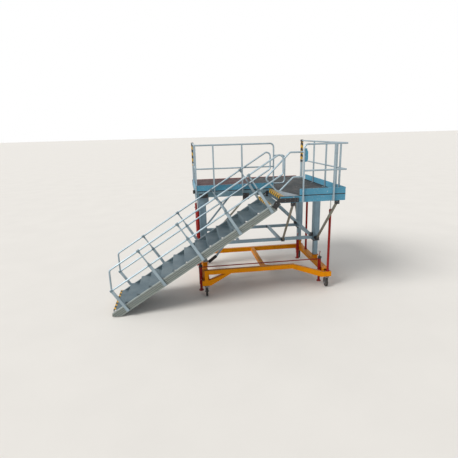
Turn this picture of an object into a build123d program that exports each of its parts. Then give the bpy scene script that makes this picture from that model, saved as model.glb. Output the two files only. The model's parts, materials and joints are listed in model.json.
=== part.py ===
from build123d import *
import os
from math import atan2, cos, sin, tan

# Aircraft cargo door access stand, in millimetres.
# X runs along the long side from the stair foot to the landing, Y runs from the stair side to the
# aircraft side, and Z is up. The origin is on the floor, under the middle of the whole stand.

# Deck: a long main deck set back behind the stair, and a landing at the stair head
deck_height = 2540
deck_length = 3290
main_depth = 2465
landing_length = 1475
stair_bay = 1225
deck_plate = 6
edge_depth = 145
edge_wall = 6
edge_flange = 60
toe_height = 150
toe_thick = 20
seal_height = 14
toe_end_y = 850
toe_past_landing = 120
toe_landing_start = 425
riser_thick = 4
strip_width = 130
strip_thick = 5
joist_width = 50
joist_height = 100
joist_wall = 8
joist_pitch = 470

# Stair: a straight flight along the near side of the main deck
tread_count = 14
going = 271
tread_depth = 300
top_tread_depth = 278
tread_plate = 5
tread_lip = 60
tread_back_lip = 20
nosing_width = 76
first_nosing_width = 45
nosing_thick = 4
plate_back_y = 300
plate_slant = 60
plate_gap = 5
stair_width = 1130
stringer_depth = 170
stringer_thick = 40
stringer_drop = 45
groove_width = 16
groove_depth = 6
groove_rows = (45, 85, 125)
foot_overhang = 31
foot_clear = 22
foot_radius = 40
foot_width = 45
foot_back = 200
foot_gap = 0.5
tie_radius = 20
tie_steps = (2, 6, 10)
tie_lift = 24
roller_inset = 20

# Stair hinge
pivot_back = 40
pivot_drop = 85
pin_radius = 12
pin_clear = 0.3
arm_thick = 12
arm_round = 38
arm_width = 125
arm_start = 40
arm_length = 115
bracket_start = 40
bracket_length = 395
bracket_height = 95
lug_gap = 1

# Guard rails and handrails
guard_height = 1100
guard_mid = 545
post_width = 34
landing_inset = 38
main_posts = (470, 1168)
right_posts = (315, 500, 1140, 1980)
landing_posts = (494, 1189)
foot_block_half = 28
foot_block_drop = 10
rail_radius = 19
mid_radius = 17
rail_bend = 90
loop_bend = 70
loop_stub_bend = 30
loop_off = 76
loop_high = 939
loop_mid = 410
loop_points = (
    # from the landing edge, above the deck
    (194, 939),
    (-345, 400),
    (-57, 85),
    (279, 410),
)
end_loop_reach = 285
end_loop_high = 810
end_loop_low = 125
end_loop_bend = 80
handrail_radius = 19
stair_rail_top = 800
stair_rail_mid = 400
stair_post_radius = 16
stair_post_flat = (30, 60)
stair_posts = (0.0604, 0.285, 0.512, 0.7354, 0.9232)
stair_loop_left = 20
stair_loop_bend = 26
stair_loop_right = 75
clamp_length = 70
clamp_rise = 20
rail_standoff = 2
bumper_y = 1160
bumper_cap = 30
bumper_width = 60

# Base frame
base_center_x = 1050
base_half_length = 1540
base_half_width = 1120
beam_width = 90
block_low = 300
block_top = 430
block_half = 105
frame_low = 360
frame_top = 480
frame_wall = 8
end_beam_width = 150
truss_low = 585
truss_high = 690
truss_slope_left = 615
truss_slope_right = 930
truss_web = 45
window_margin = 135
window_past = 1
cross_x = 1080
cross_width = 90
cross_knee_y = -450

# Telescopic columns
column_half_spacing = 1515
near_column_y = -300
far_column_inset = 20
outer_column = 160
outer_wall = 8
inner_column = 110
inner_wall = 8
column_low = 1060
stub_width = 120
stub_top = 610
inner_top = 1950

# Lift cylinders
barrel_radius = 30
rod_radius = 14
rod_clear = 0.4
cylinder_inset = 40
ledge_margin = 15
barrel_foot_margin = 8
bore_depth = 600
cylinder_near_left_y = -560
cylinder_near_right_y = -1120
cylinder_far_y = 560
barrel_top = 2040
rod_low = 1300
rod_cap_height = 40

# Lower ring of beams and the struts of the lifting frame
ring_rise = 15
ring_height = 80
ring_width = 60
ring_wall = 5
strut_width = 45
strut_shift = 60
bracket_half = 42
landing_strut_x = (1460, 2480)
ring_cross_x = (450, 1570)
main_strut_reach = 1300
near_head_x = (535, 684)
near_head_y = -560
near_head_drop = (234, 76)
near_head_plate = 12
collar_x = (-110, 159)
collar_y = 92
collar_drop = (340, 106)
stay_x = (107, -160, -370)
stay_z = (1075, 760, 600)
stay_plate = (20, 80)

# Screw jacks
jack_shift_x = -125
jack_inboard = 215
jack_tube_radius = 42
jack_leg_radius = 32
jack_tube_low = 270
jack_tube_top = 720
jack_foot_height = 90
jack_foot_radius = 60
jack_foot_plate = 12
jack_leg_top = 640
jack_arm_height = 60
crank_radius = 9
crank_top = 900
crank_grip = 100
grip_extra = 3
tie_bar_radius = 13
tie_bar_z = 700

# Casters
wheel_radius = 125
wheel_width = 50
rim_radius = 85
caster_trail = 45
axle_radius = 10
fork_gap = 6
fork_plate = 8
stem_plate = 130
stem_thick = 10
stem_gap = 5
crown_back = 40
crown_front = 35
cheek_back = 20
cheek_front = 25
axle_boss = 28

os.makedirs("parts", exist_ok=True)

# Places worked out from the sizes above
rise = deck_height / (tread_count + 1)
stair_run = tread_count * going
overall_length = landing_length + stair_run + foot_overhang
overall_width = main_depth + stair_bay
x_left = -overall_length / 2
x_right = overall_length / 2
y_near = -overall_width / 2
y_far = overall_width / 2
x_landing = x_right - landing_length
x_main = x_right - deck_length
y_main = y_near + stair_bay
y_face = y_near + landing_inset
x_nose = x_landing - stair_run
edge_low = deck_height - edge_depth
near_head_z = [deck_height - drop for drop in near_head_drop]
collar_z = [deck_height - drop for drop in collar_drop]
panel_low = deck_height - deck_plate
seal_top = deck_height + seal_height
rail_z = deck_height + guard_height
mid_z = deck_height + guard_mid
pitch = atan2(rise, going)
flight_length = stair_run / cos(pitch)
base_left = base_center_x - base_half_length
base_right = base_center_x + base_half_length
column_x = (base_center_x - column_half_spacing, base_center_x + column_half_spacing)
column_y = (near_column_y, base_half_width - far_column_inset)
cylinders = [
    # x, y, top of the base where the barrel stands
    (x_main + cylinder_inset, cylinder_near_left_y, frame_top),
    (x_right - cylinder_inset, cylinder_near_right_y, block_top),
    (x_main + cylinder_inset, cylinder_far_y, frame_top),
    (x_right - cylinder_inset, cylinder_far_y, frame_top),
]
stringer_near = y_face
stringer_far = stringer_near + stair_width
pivot_x = x_landing - pivot_back
pivot_z = deck_height - pivot_drop
corners = [
    # name, x, y, side: -1 near, +1 far
    ("near_left", base_left, -base_half_width, -1),
    ("near_right", base_right, -base_half_width, -1),
    ("far_left", base_left, base_half_width, 1),
    ("far_right", base_right, base_half_width, 1),
]
STAND = (Align.CENTER, Align.CENTER, Align.MIN)


def block(x0, x1, y0, y1, z0, z1):
    """A box between two opposite corners."""
    middle = ((x0 + x1) / 2, (y0 + y1) / 2, (z0 + z1) / 2)
    return Pos(*middle) * Box(abs(x1 - x0), abs(y1 - y0), abs(z1 - z0))


def upright(x, y, z0, z1, radius):
    """A round bar that stands on its lower end."""
    return Pos(x, y, z0) * Cylinder(radius, z1 - z0, align=STAND)


def square_tube(x, y, z0, z1, width, wall):
    """A square hollow column."""
    half = width / 2
    clear = half - wall
    bore = block(x - clear, x + clear, y - clear, y + clear, z0, z1)
    return block(x - half, x + half, y - half, y + half, z0, z1) - bore


def box_beam(x0, x1, y0, y1, z0, z1, along, wall):
    """A box section open at both ends, which runs along X or along Y."""
    if along == "x":
        bore = block(x0, x1, y0 + wall, y1 - wall, z0 + wall, z1 - wall)
    else:
        bore = block(x0 + wall, x1 - wall, y0, y1, z0 + wall, z1 - wall)
    return block(x0, x1, y0, y1, z0, z1) - bore


def rod_between(start, end, radius):
    """A round bar from one point to another."""
    line = Vector(*end) - Vector(*start)
    return Plane(origin=start, z_dir=line) * Cylinder(radius, line.length, align=STAND)


def bar_between(start, end, width, height):
    """A square-edged bar from one point to another."""
    line = Vector(*end) - Vector(*start)
    level = Vector(0, 0, 1).cross(line)
    frame = Plane(origin=start, x_dir=level, z_dir=line)
    return frame * Box(width, height, line.length, align=STAND)


def tube_runs(points, radius, bend, closed=False):
    """The straight runs and the bends of a round tube with rounded corners, one solid each."""
    path = FilletPolyline(*points, radius=bend, close=closed)
    return [sweep(Plane(origin=run @ 0, z_dir=run % 0) * Circle(radius), path=run) for run in path.edges()]


def cut_by(pieces, tools):
    """The solids left of the pieces once the tools are cut out of them."""
    left = []
    for piece in pieces:
        for tool in tools:
            piece -= tool
        left += piece.solids()
    return left


def side_plate(outline, y0, y1):
    """A plate cut to an outline of X and Z, from y0 to y1."""
    face = make_face(Plane.XZ * Polyline(*outline, close=True))
    return Pos(0, y1, 0) * extrude(face, amount=y1 - y0, dir=(0, -1, 0))


def cross_plate(outline, x0, x1):
    """A plate cut to an outline of Y and Z, from x0 to x1."""
    face = make_face(Plane.YZ * Polyline(*outline, close=True))
    return Pos(x0, 0, 0) * extrude(face, amount=x1 - x0, dir=(1, 0, 0))


def flat_plate(outline, z0, z1):
    """A plate cut to an outline of X and Y, from z0 to z1."""
    face = make_face(Polyline(*outline, close=True))
    return Pos(0, 0, z0) * extrude(face, amount=z1 - z0, dir=(0, 0, 1))


def deck_outline(inset):
    """The L of the deck, drawn in by an even margin all round."""
    return [
        (x_main + inset, y_main + inset),
        (x_landing + inset, y_main + inset),
        (x_landing + inset, y_face + inset),
        (x_right - inset, y_face + inset),
        (x_right - inset, y_far - inset),
        (x_main + inset, y_far - inset),
    ]


def deck_ring(outer, inner, z0, z1):
    """A band of the deck's L between two margins."""
    return flat_plate(deck_outline(outer), z0, z1) - flat_plate(deck_outline(inner), z0, z1)


def on_stair(s, n):
    """X and Z of a point s up the flight from the first nosing and n square off the slope."""
    x = x_nose + s * cos(pitch) - n * sin(pitch)
    z = rise + s * sin(pitch) + n * cos(pitch)
    return x, z


def slope_point_at(x, n):
    """X and Z of the point above x on the line that runs n off the slope."""
    z = rise + (x - x_nose) * tan(pitch) + n / cos(pitch)
    return x, z


def save(name, pieces):
    """Write the solids of one sub-part to its file."""
    solids = [solid for piece in pieces for solid in piece.solids()]
    export_step(Compound(children=solids), f"parts/{name}.step")


# Base: the near truss is raised in its middle and comes down to a block over each near caster
truss_y0 = -base_half_width - beam_width / 2
truss_y1 = truss_y0 + beam_width
kink_left = base_left + truss_slope_left
kink_right = base_right - truss_slope_right
truss = side_plate(
    [
        (base_left - block_half, block_low),
        (base_left - block_half, block_top),
        (base_left - truss_web, block_top),
        (base_left - truss_web, truss_high),
        (kink_right + truss_web, truss_high),
        (base_right - block_half, block_top),
        (base_right + block_half, block_top),
        (base_right + block_half, block_low),
        (base_right - block_half - truss_web, block_low),
        (kink_right, truss_low),
        (kink_left, truss_low),
        (base_left + block_half, block_low),
    ],
    truss_y0,
    truss_y1,
)
gusset_window = side_plate(
    [
        (base_left + truss_web, block_top),
        (base_left + truss_web, truss_low),
        (kink_left - window_margin, truss_low),
    ],
    truss_y0 - window_past,
    truss_y1 + window_past,
)
save("base_near_truss", [truss - gusset_window])

# Base: far beam, two end beams that carry the column stubs, and the middle cross member
far_y0 = base_half_width - beam_width / 2
far_y1 = far_y0 + beam_width
far_beam = box_beam(base_left - block_half, base_right + block_half, far_y0, far_y1, frame_low, frame_top,
                    "x", frame_wall)
for x in (base_left, base_right):
    far_beam += block(x - block_half, x + block_half, far_y0, far_y1, block_low, frame_low)
stub_half = stub_width / 2
for x in column_x:
    y = column_y[1]
    far_beam += block(x - stub_half, x + stub_half, y - stub_half, y + stub_half, frame_top, stub_top)
save("base_far_beam", [far_beam])

end_half = end_beam_width / 2
end_beams = []
for x, stub_x in zip((base_left, base_right), column_x):
    beam = box_beam(x - end_half, x + end_half, truss_y1, far_y0, frame_low, frame_top, "y", frame_wall)
    y = column_y[0]
    stub = block(stub_x - stub_half, stub_x + stub_half, y - stub_half, y + stub_half, frame_top, stub_top)
    end_beams += [beam, stub]
    for foot_x, foot_y, _ in cylinders:
        if end_half < abs(foot_x - x) < base_half_length:
            radius = barrel_radius + ledge_margin
            ledge = block(x, foot_x, foot_y - radius, foot_y + radius, frame_top - radius, frame_top)
            ledge += upright(foot_x, foot_y, frame_top - radius, frame_top, radius)
            ledge -= block(x - end_half, x + end_half, truss_y1, far_y0, frame_low, frame_top)
            end_beams.append(ledge)
save("base_end_beams", end_beams)

cross_half = cross_width / 2
cross = box_beam(cross_x - cross_half, cross_x + cross_half, cross_knee_y, far_y0, frame_low, frame_top,
                 "y", frame_wall)
knee = cross_plate(
    [
        (cross_knee_y, frame_low),
        (cross_knee_y, frame_top),
        (truss_y1, truss_high),
        (truss_y1, truss_low),
    ],
    cross_x - cross_half,
    cross_x + cross_half,
)
save("base_cross_member", [cross, knee])

# Columns: fixed inner sections on the stubs, sliding outer sections under the deck
bearer_low = panel_low - joist_height
inner_columns = [
    square_tube(x, y, stub_top, inner_top, inner_column, inner_wall) for x in column_x for y in column_y
]
save("column_inner", inner_columns)
outer_columns = [
    square_tube(x, y, column_low, bearer_low, outer_column, outer_wall) for x in column_x for y in column_y
]
save("column_outer", outer_columns)

# Lift cylinders: barrels stand on the base, rods hang from the deck's edge beams
barrels = []
rods = []
for x, y, foot_z in cylinders:
    barrel = upright(x, y, foot_z, barrel_top, barrel_radius)
    barrel += upright(x, y, foot_z, foot_z + rod_cap_height, barrel_radius + barrel_foot_margin)
    barrel -= upright(x, y, rod_low - bore_depth, barrel_top, rod_radius + rod_clear)
    barrels.append(barrel)
    rod = upright(x, y, rod_low, edge_low, rod_radius)
    rod += upright(x, y, edge_low - rod_cap_height, edge_low, barrel_radius)
    rods.append(rod)
save("lift_cylinder_barrels", barrels)
save("lift_cylinder_rods", rods)

# Lower ring of beams between the feet of the outer columns
outer_half = outer_column / 2
ring_half = ring_width / 2
ring_low = column_low + ring_rise
ring_high = ring_low + ring_height
left_face = column_x[0] + outer_half
right_face = column_x[1] - outer_half
ring_beams = [
    box_beam(left_face, right_face, y - ring_half, y + ring_half, ring_low, ring_high, "x", ring_wall)
    for y in column_y
]
for x, inward in zip(column_x, (1, -1)):
    middle = x + inward * (outer_half - ring_half)
    ring_beams.append(
        box_beam(middle - ring_half, middle + ring_half, column_y[0] + outer_half,
                 column_y[1] - outer_half, ring_low, ring_high, "y", ring_wall)
    )
for x in ring_cross_x:
    ring_beams.append(
        box_beam(x - ring_half, x + ring_half, column_y[0] + ring_half, column_y[1] - ring_half,
                 ring_low, ring_high, "y", ring_wall)
    )
save("ring_beams", ring_beams)

# Struts of the lifting frame, each held in a clamp bracket at both ends
clamp_drop = bracket_half
strut_table = []
for y in column_y:
    strut_table.append(
        ((right_face - clamp_drop, y, ring_high + clamp_drop), (x_landing, y, bearer_low - clamp_drop))
    )
strut_table.append(((left_face + clamp_drop, column_y[1], ring_high + clamp_drop),
                    (x_main + main_strut_reach, column_y[1], bearer_low - clamp_drop)))
near_strut_y = column_y[0] - ring_half - clamp_drop
strut_table.append(((ring_cross_x[1] + strut_shift, near_strut_y, ring_low + clamp_drop),
                    (landing_strut_x[0], y_face + clamp_drop, edge_low - clamp_drop)))
strut_table.append(((column_x[1], column_y[0] - outer_half - clamp_drop, ring_low + clamp_drop),
                    (landing_strut_x[1], y_face + clamp_drop, edge_low - clamp_drop)))
for x in column_x:
    strut_table.append(((x, column_y[1] + outer_half + clamp_drop, ring_low + clamp_drop),
                        (x, y_far - clamp_drop, edge_low - clamp_drop)))
struts = []
brackets = []
for foot, head in strut_table:
    clamps = [Pos(*place) * Box(2 * clamp_drop, 2 * clamp_drop, 2 * clamp_drop) for place in (foot, head)]
    strut = bar_between(foot, head, strut_width, strut_width)
    struts.append(strut - clamps[0] - clamps[1])
    brackets += clamps

# The near left strut leans out to a bracket hooked over the foot of the main deck's near beam
head = block(*near_head_x, y_main, near_head_y, near_head_z[0], edge_low)
head += block(*near_head_x, y_main - near_head_plate, y_main, *near_head_z)
foot_clamp = Pos(left_face + clamp_drop, column_y[0], ring_high + clamp_drop) * Box(
    2 * clamp_drop, 2 * clamp_drop, 2 * clamp_drop)
leaning = bar_between(
    (left_face + clamp_drop, column_y[0], ring_high + clamp_drop),
    (sum(near_head_x) / 2, (y_main + near_head_y) / 2, (near_head_z[0] + edge_low) / 2),
    strut_width,
    strut_width,
)
struts.append(leaning - foot_clamp - head)
brackets += [foot_clamp, head]

# Collars round the heads of the left columns, and the short stay under the near ring beam
for y in column_y:
    collar = block(column_x[0] + collar_x[0], column_x[0] + collar_x[1],
                   y - collar_y, y + collar_y, *collar_z)
    inside = block(left_face - outer_column, left_face, y - outer_half, y + outer_half, *collar_z)
    brackets.append(collar - inside)
ring_side = block(left_face, right_face, column_y[0] - ring_half, column_y[0] + ring_half,
                  ring_low, ring_high)
stay = bar_between((stay_x[1], column_y[0], stay_z[1]), (stay_x[0], column_y[0], ring_low + ring_half),
                   strut_width, strut_width) - ring_side
struts.append(stay)
brackets.append(
    bar_between((stay_x[2], column_y[0], stay_z[2]), (stay_x[1], column_y[0], stay_z[1]), *stay_plate) - stay
)
save("frame_struts", struts)
save("strut_brackets", brackets)

# Deck: edge beams, bearers and joists, panel, edge seal and toe boards
edge = deck_ring(0, edge_wall, edge_low, panel_low)
edge += deck_ring(0, edge_flange, edge_low, edge_low + edge_wall)
for x in column_x:
    for y in column_y:
        edge -= block(x - outer_half, x + outer_half, y - outer_half, y + outer_half, edge_low, bearer_low)
save("deck_edge_beams", [edge])

inner_left = x_main + edge_wall
inner_right = x_right - edge_wall


def joist(x0, x1, y0, y1):
    """An upright web with a flange along its foot, thin across its run."""
    spread = (joist_width - joist_wall) / 2
    across_x = spread if x1 - x0 < y1 - y0 else 0
    across_y = spread - across_x
    web = block(x0, x1, y0, y1, bearer_low, panel_low)
    return web + block(x0 - across_x, x1 + across_x, y0 - across_y, y1 + across_y,
                       bearer_low, bearer_low + joist_wall)


web_half = joist_wall / 2
bearers = [joist(inner_left, inner_right, y - web_half, y + web_half) for y in column_y]
joists = []
joist_count = round(deck_length / joist_pitch)
for i in range(joist_count):
    x = x_main + (i + 0.5) * deck_length / joist_count
    y0 = y_main + edge_wall if x < x_landing + joist_width else y_face + edge_wall
    joists.append(joist(x - web_half, x + web_half, y0, y_far - edge_wall))
save("deck_bearers", bearers + cut_by(joists, bearers))
save("deck_panel", [block(x_main, x_right, y_main, y_far, panel_low, deck_height),
                    block(x_landing, x_right, y_face, y_main, panel_low, deck_height)])

toe_top = deck_height + toe_height
toe_landing_x = x_landing + toe_landing_start
toe_runs = [
    # x0, x1, y0, y1: main near side, left end, landing near side, right end
    (x_main, x_landing + toe_past_landing, y_main, y_main + toe_thick),
    (x_main, x_main + toe_thick, y_main + toe_thick, toe_end_y),
    (toe_landing_x, x_right, y_face, y_face + toe_thick),
    (x_right - toe_thick, x_right, y_face + toe_thick, toe_end_y),
]
seals = [block(*run, deck_height, seal_top) for run in toe_runs]
toes = [block(*run, seal_top, toe_top) for run in toe_runs]
save("toe_seal", seals)
save("toe_boards", toes)
strip = block(x_main, x_right, y_far - strip_width, y_far, deck_height, deck_height + strip_thick)
save("deck_far_strip", [strip])
plate_x = x_landing + nosing_width
plate_y = y_face + toe_thick
plate = flat_plate(
    [
        (plate_x, plate_y),
        (toe_landing_x - plate_gap, plate_y),
        (plate_x + plate_slant, y_main - plate_back_y),
        (plate_x, y_main - plate_back_y),
    ],
    deck_height,
    deck_height + nosing_thick,
)
save("transition_plate", [plate])
landing_nosing = block(x_landing, plate_x, y_face, y_main, deck_height, deck_height + nosing_thick)
save("landing_nosing", [landing_nosing])

# The closed face between the stair's top tread and the landing
tread_y0 = stringer_near + stringer_thick
tread_y1 = stringer_far - stringer_thick
save("landing_riser", [block(x_landing - riser_thick, x_landing, tread_y0, tread_y1, edge_low, deck_height)])

# Guard rails: posts stand under the top rails, and the mid rails fit between the posts
post_half = post_width / 2
rail_in = toe_thick + post_half


def post(x, y, z0, z1):
    """A square guard rail post."""
    return block(x - post_half, x + post_half, y - post_half, y + post_half, z0, z1)


def level_rail(start, end, z, radius):
    """A level round rail between two plan points."""
    return rod_between((start[0], start[1], z), (end[0], end[1], z), radius)


main_y = y_main + rail_in
main_end_x = x_landing + toe_past_landing + rail_radius
left_x = x_main + rail_in
corner_post = post(left_x, main_y, deck_height, rail_z + rail_radius)
main_top = tube_runs(
    [(left_x + post_half, main_y, rail_z), (main_end_x, main_y, rail_z), (main_end_x, main_y, deck_height)],
    rail_radius,
    rail_bend,
)
inner_posts = cut_by([post(x_main + x, main_y, deck_height, rail_z) for x in main_posts], main_top)
main_mid = level_rail((left_x + post_half, main_y), (main_end_x, main_y), mid_z, mid_radius)
end_loop = tube_runs(
    [
        (main_end_x, main_y, deck_height + end_loop_high),
        (main_end_x + end_loop_reach, main_y, deck_height + end_loop_high),
        (main_end_x + end_loop_reach, main_y, deck_height + end_loop_low),
        (main_end_x, main_y, deck_height + end_loop_low),
    ],
    rail_radius,
    end_loop_bend,
)
save("guardrail_main", [corner_post] + main_top + inner_posts
     + cut_by([main_mid], inner_posts + main_top) + cut_by(end_loop, main_top))

bumper_half = bumper_width / 2
bumper_low_y = bumper_y - bumper_half
left_top = level_rail((left_x, main_y + post_half), (left_x, bumper_low_y), rail_z, rail_radius)
left_top -= main_top[0]
left_mid = level_rail((left_x, main_y + post_half), (left_x, bumper_low_y), mid_z, mid_radius)
left_post = cut_by([post(left_x, (main_y + bumper_y) / 2, deck_height, rail_z)], [left_top])
save("guardrail_left_end", [left_top] + left_post + cut_by([left_mid], left_post))

landing_y = y_near + rail_radius
right_x = x_right - rail_in
first_post_x = x_landing + landing_posts[0]
second_post_x = x_landing + landing_posts[1]
landing_top = tube_runs(
    [
        (first_post_x, landing_y, edge_low),
        (first_post_x, landing_y, rail_z),
        (right_x + rail_radius, landing_y, rail_z),
    ],
    rail_radius,
    rail_bend,
)
second_post = cut_by([post(second_post_x, landing_y, edge_low, rail_z)], landing_top)
landing_mid = level_rail((first_post_x, landing_y), (right_x + rail_radius, landing_y), mid_z, rail_radius)
foot_blocks = [
    block(x - foot_block_half, x + foot_block_half, landing_y, y_face, edge_low + foot_block_drop,
          panel_low - foot_block_drop)
    for x in (first_post_x, second_post_x)
]
loop_y = y_near + loop_off
loop_path = [
    (first_post_x, landing_y, deck_height + loop_high),
    (first_post_x, loop_y, deck_height + loop_high),
]
loop_path += [(x_landing + x, loop_y, deck_height + z) for x, z in loop_points]
loop_path += [
    (first_post_x, loop_y, deck_height + loop_mid),
    (first_post_x, landing_y, deck_height + loop_mid),
]
loop_bends = (loop_stub_bend, loop_bend, loop_bend, loop_bend, loop_bend, loop_stub_bend)
landing_uprights = landing_top + second_post
save("guardrail_landing", landing_uprights + cut_by([landing_mid], landing_uprights)
     + cut_by(foot_blocks, landing_uprights)
     + cut_by(tube_runs(loop_path, rail_radius, loop_bends), landing_top))

right_top = level_rail((right_x, landing_y), (right_x, bumper_low_y), rail_z, rail_radius)
right_mid = level_rail((right_x, landing_y), (right_x, bumper_low_y), mid_z, mid_radius)
right_uprights = cut_by([post(right_x, y_near + y, deck_height, rail_z) for y in right_posts], [right_top])
save("guardrail_right_end", cut_by([right_top], landing_top) + right_uprights
     + cut_by([right_mid], right_uprights + [landing_mid]))

bumpers = [
    block(x - bumper_half, x + bumper_half, bumper_low_y, bumper_y + bumper_half,
          deck_height, rail_z + bumper_cap)
    for x in (left_x, right_x)
]
save("bumper_posts", bumpers)

# Stair: two stringers with long grooves in both faces
stringer_low = -stringer_drop - stringer_depth
top_x = pivot_x - arm_round
left_z = slope_point_at(x_left, -stringer_drop)[1]
foot_x = x_nose + (foot_clear - rise - stringer_low / cos(pitch)) / tan(pitch)
stringer_outline = [
    (x_left, foot_clear),
    (x_left, left_z),
    slope_point_at(top_x, -stringer_drop),
    slope_point_at(top_x, stringer_low),
    (foot_x, foot_clear),
]


def stringer(y0):
    """One stringer, its near face at y0."""
    plate = side_plate(stringer_outline, y0, y0 + stringer_thick)
    for row in groove_rows:
        x0, z0 = slope_point_at(x_left - stringer_depth, -stringer_drop - row)
        x1, z1 = slope_point_at(top_x + stringer_depth, -stringer_drop - row)
        for y in (y0, y0 + stringer_thick):
            plate -= bar_between((x0, y, z0), (x1, y, z1), 2 * groove_depth, groove_width)
    return plate


save("stringer_near", [stringer(stringer_near)])
save("stringer_far", [stringer(stringer_far - stringer_thick)])

# Treads: plates with a deep front lip and a short back lip, between the stringers
treads = []
risers = []
for k in range(tread_count):
    x = x_nose + k * going
    z = rise * (k + 1)
    topmost = k == tread_count - 1
    back_x = x + (top_tread_depth if topmost else tread_depth)
    if not topmost:
        risers.append(block(back_x - tread_plate, back_x, tread_y0, tread_y1, z, z + rise - tread_plate))
    treads.append(block(x, back_x, tread_y0, tread_y1, z - tread_plate, z))
    treads.append(block(x, x + tread_plate, tread_y0, tread_y1, z - tread_lip, z - tread_plate))
    treads.append(block(back_x - tread_plate, back_x, tread_y0, tread_y1,
                        z - tread_back_lip, z - tread_plate))
save("stair_treads", treads)
save("stair_risers", risers)
nosings = []
for k, width in ((0, first_nosing_width), (tread_count - 1, nosing_width)):
    x = x_nose + k * going
    z = rise * (k + 1)
    nosings.append(block(x, x + width, tread_y0, tread_y1, z, z + nosing_thick))
save("tread_nosings", nosings)

ties = []
for step in tie_steps:
    s = (step + 0.5) * going / cos(pitch) + tread_depth * cos(pitch)
    x, z = on_stair(s, stringer_low + tie_lift)
    ties.append(rod_between((x, tread_y0, z), (x, tread_y1, z), tie_radius))
save("stair_ties", ties)


def stair_rail(y, clamp_y0, clamp_y1):
    """Handrail loop, with flat lower posts and round upper posts square off the slope."""
    x0 = x_nose + stair_loop_left
    x1 = x_landing + stair_loop_right - pivot_back
    turns = [(x0, stair_rail_mid), (x0, stair_rail_top), (x1, stair_rail_top), (x1, stair_rail_mid)]
    corners_of_loop = [slope_point_at(x, n) for x, n in turns]
    bends = (stair_loop_bend, rail_bend, rail_bend, rail_bend)
    loop = tube_runs([(x, y, z) for x, z in corners_of_loop], handrail_radius, bends, closed=True)
    uprights = []
    for share in stair_posts:
        s = share * flight_length
        foot_n = stringer_low + clamp_rise
        xa, za = on_stair(s, foot_n)
        xb, zb = on_stair(s, stair_rail_mid)
        lower = bar_between((xa, y, za), (xb, y, zb), *stair_post_flat)
        xc, zc = on_stair(s, foot_n + clamp_length)
        middle = (clamp_y0 + clamp_y1) / 2
        lower += bar_between((xa, middle, za), (xc, middle, zc), clamp_y1 - clamp_y0, clamp_length)
        uprights.append(lower)
        if share != stair_posts[0]:
            xd, zd = on_stair(s, stair_rail_top)
            uprights.append(rod_between((xb, y, zb), (xd, y, zd), stair_post_radius))
    return loop + cut_by(uprights, loop)


rail_off = stair_post_radius + rail_standoff
save("handrail_near", stair_rail(stringer_near - rail_off, stringer_near - 2 * rail_off, stringer_near))
save("handrail_far", stair_rail(stringer_far + rail_off, stringer_far, stringer_far + 2 * rail_off))

# Stair foot: an axle with two rollers between the stringers
roller_x = x_left + foot_back
axle_y0 = tread_y0 + foot_gap
axle_y1 = tread_y1 - foot_gap
rollers = rod_between((roller_x, axle_y0, foot_radius), (roller_x, axle_y1, foot_radius), axle_radius)
for y0 in (axle_y0 + roller_inset, axle_y1 - roller_inset - foot_width):
    rollers += rod_between((roller_x, y0, foot_radius), (roller_x, y0 + foot_width, foot_radius),
                           foot_radius)
save("stair_foot_rollers", [rollers])

# Stair hinge: arms on the stringers turn on pins held by lugs on the landing
arm_back_x, arm_back_z = slope_point_at(pivot_x - arm_length, -stringer_drop - stringer_depth / 2)


def hinge_arm(y0, y1):
    """A broad plate arm from the pivot down along the stringer, round at the pin."""
    middle = (y0 + y1) / 2
    share = arm_start / Vector(arm_back_x - pivot_x, 0, arm_back_z - pivot_z).length
    start = (pivot_x + share * (arm_back_x - pivot_x), middle, pivot_z + share * (arm_back_z - pivot_z))
    arm = bar_between((pivot_x, middle, pivot_z), start, y1 - y0, 2 * arm_round)
    arm += bar_between(start, (arm_back_x, middle, arm_back_z), y1 - y0, arm_width)
    arm += rod_between((pivot_x, y0, pivot_z), (pivot_x, y1, pivot_z), arm_round)
    return arm - rod_between((pivot_x, y0, pivot_z), (pivot_x, y1, pivot_z), pin_radius + pin_clear)


near_arm_y0 = stringer_near - arm_thick
far_arm_y1 = stringer_far + arm_thick
save("stair_hinge_arms", [hinge_arm(near_arm_y0, stringer_near), hinge_arm(stringer_far, far_arm_y1)])
near_lug_y1 = near_arm_y0 - lug_gap
near_lug_y0 = near_lug_y1 - arm_thick
bracket_z0 = pivot_z - bracket_height / 2
bracket_z1 = pivot_z + bracket_height / 2
near_lug = block(pivot_x, x_landing + bracket_length, near_lug_y0, near_lug_y1, bracket_z0, bracket_z1)
near_lug += rod_between((pivot_x, near_lug_y0, pivot_z), (pivot_x, near_lug_y1, pivot_z),
                        bracket_height / 2)
near_lug += block(x_landing + bracket_start, x_landing + bracket_length, near_lug_y1, y_face,
                  bracket_z0, bracket_z1)
near_lug += rod_between((pivot_x, near_lug_y1, pivot_z), (pivot_x, stringer_near, pivot_z), pin_radius)
far_lug_y0 = far_arm_y1 + lug_gap
far_lug_y1 = far_lug_y0 + arm_thick
far_lug = block(pivot_x, x_landing, far_lug_y0, far_lug_y1, bracket_z0, bracket_z1)
far_lug += rod_between((pivot_x, far_lug_y0, pivot_z), (pivot_x, far_lug_y1, pivot_z), bracket_height / 2)
far_lug += rod_between((pivot_x, stringer_far, pivot_z), (pivot_x, far_lug_y0, pivot_z), pin_radius)
save("stair_hinge_brackets", [near_lug, far_lug - edge])

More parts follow.
